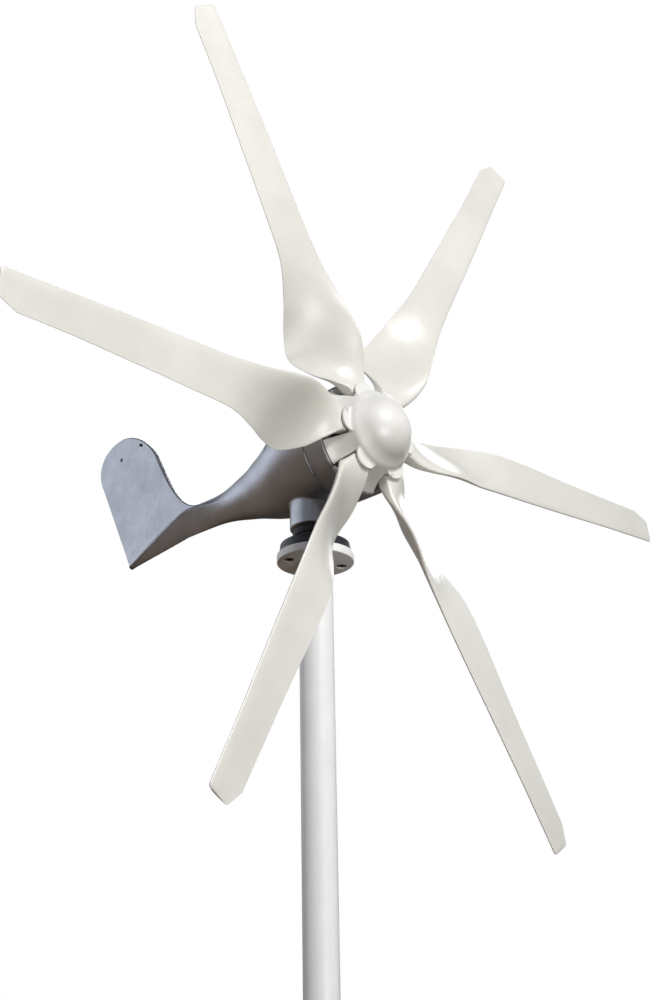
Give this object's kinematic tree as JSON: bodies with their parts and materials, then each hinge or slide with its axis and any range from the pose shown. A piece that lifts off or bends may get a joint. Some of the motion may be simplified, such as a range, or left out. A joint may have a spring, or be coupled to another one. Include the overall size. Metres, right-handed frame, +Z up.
{
  "type": "small wind turbine",
  "caption": "Small horizontal-axis wind turbine with a bladed rotor, round spinner, direct-drive generator nacelle, integral tail fin and free-turning yaw head on a flanged mast tube.",
  "frame": {"origin": "centre of the mast tube's foot, where a socket or stand would hold the mast", "axes": "+Z up along the mast and yaw axis, rotor faces -Y, tail fin towards +Y, +X to the right seen from the front"},
  "size_m": [1.1998, 0.6337, 1.6373],
  "materials": {
    "blade_nylon": "satin off-white moulded nylon",
    "spinner_plastic": "light warm grey satin moulding",
    "casting_paint": "blue-grey metallic coating on cast aluminium",
    "cover_paint": "dark grey coating on cast aluminium",
    "base_paint": "dark blue-grey coating on cast aluminium",
    "hub_metal": "dark grey coating on cast aluminium",
    "mast_metal": "white coated steel",
    "fastener_steel": "zinc plated",
    "dark_fastener": "black oxide",
    "bearing_steel": "ground bearing steel",
    "shaft_steel": "turned steel",
    "lamination_steel": "varnished laminations",
    "magnet_nickel": "nickel plated",
    "copper_enamel": "enamelled copper",
    "ring_copper": "turned copper alloy",
    "rubber_black": "black rubber",
    "holder_resin": "brown phenolic",
    "insulator_resin": "cream insulating resin",
    "brush_carbon": "carbon",
    "lead_black": "black insulation",
    "lead_red": "red insulation"
  },
  "bodies": {
    "mast": {"mast_tube": "mast_metal", "mast_flange": "mast_metal", "yaw_base": "base_paint", "flange_screws": "dark_fastener", "flange_washers": "fastener_steel", "yaw_lower_inner": "bearing_steel", "yaw_upper_inner": "bearing_steel", "yaw_spacer": "shaft_steel", "yaw_nut": "fastener_steel", "slip_ring_core": "insulator_resin", "slip_rings": "ring_copper", "slip_ring_leads": "lead_black", "lead_terminals": "ring_copper"},
    "nacelle": {"nacelle_casting": "casting_paint", "front_cover": "cover_paint", "cover_screws": "fastener_steel", "rear_plate": "hub_metal", "plate_screws": "fastener_steel", "stator_core": "lamination_steel", "stator_windings": "copper_enamel", "front_outer_race": "bearing_steel", "front_balls": "bearing_steel", "rear_outer_race": "bearing_steel", "rear_balls": "bearing_steel", "wave_washer": "dark_fastener", "shaft_seal": "rubber_black", "yaw_lower_outer": "bearing_steel", "yaw_lower_balls": "bearing_steel", "yaw_upper_outer": "bearing_steel", "yaw_upper_balls": "bearing_steel", "yaw_seal": "rubber_black", "brush_holder": "holder_resin", "holder_screws": "fastener_steel", "brushes": "brush_carbon", "brush_springs": "ring_copper", "phase_leads": "lead_red"},
    "rotor": {"spinner": "spinner_plastic", "spinner_screws": "spinner_plastic", "blade_1": "blade_nylon", "blade_2": "blade_nylon", "blade_3": "blade_nylon", "blade_4": "blade_nylon", "blade_5": "blade_nylon", "blade_6": "blade_nylon", "hub_carrier": "hub_metal", "blade_bolts": "fastener_steel", "blade_washers": "fastener_steel", "hub_washer": "fastener_steel", "hub_nut": "fastener_steel", "rotor_shaft": "shaft_steel", "shaft_key": "shaft_steel", "magnet_core": "shaft_steel", "magnets": "magnet_nickel", "core_circlip": "dark_fastener", "front_inner_race": "bearing_steel", "rear_inner_race": "bearing_steel"}
  },
  "joints": [
    {"name": "nacelle_yaw", "type": "hinge", "parent": "mast", "child": "nacelle", "pos_m": [0, 0, 1.1], "axis": [0, 0, 1], "continuous": true},
    {"name": "rotor_spin", "type": "hinge", "parent": "nacelle", "child": "rotor", "pos_m": [0, -0.129, 1.1], "axis": [0, 1, 0], "continuous": true}
  ]
}
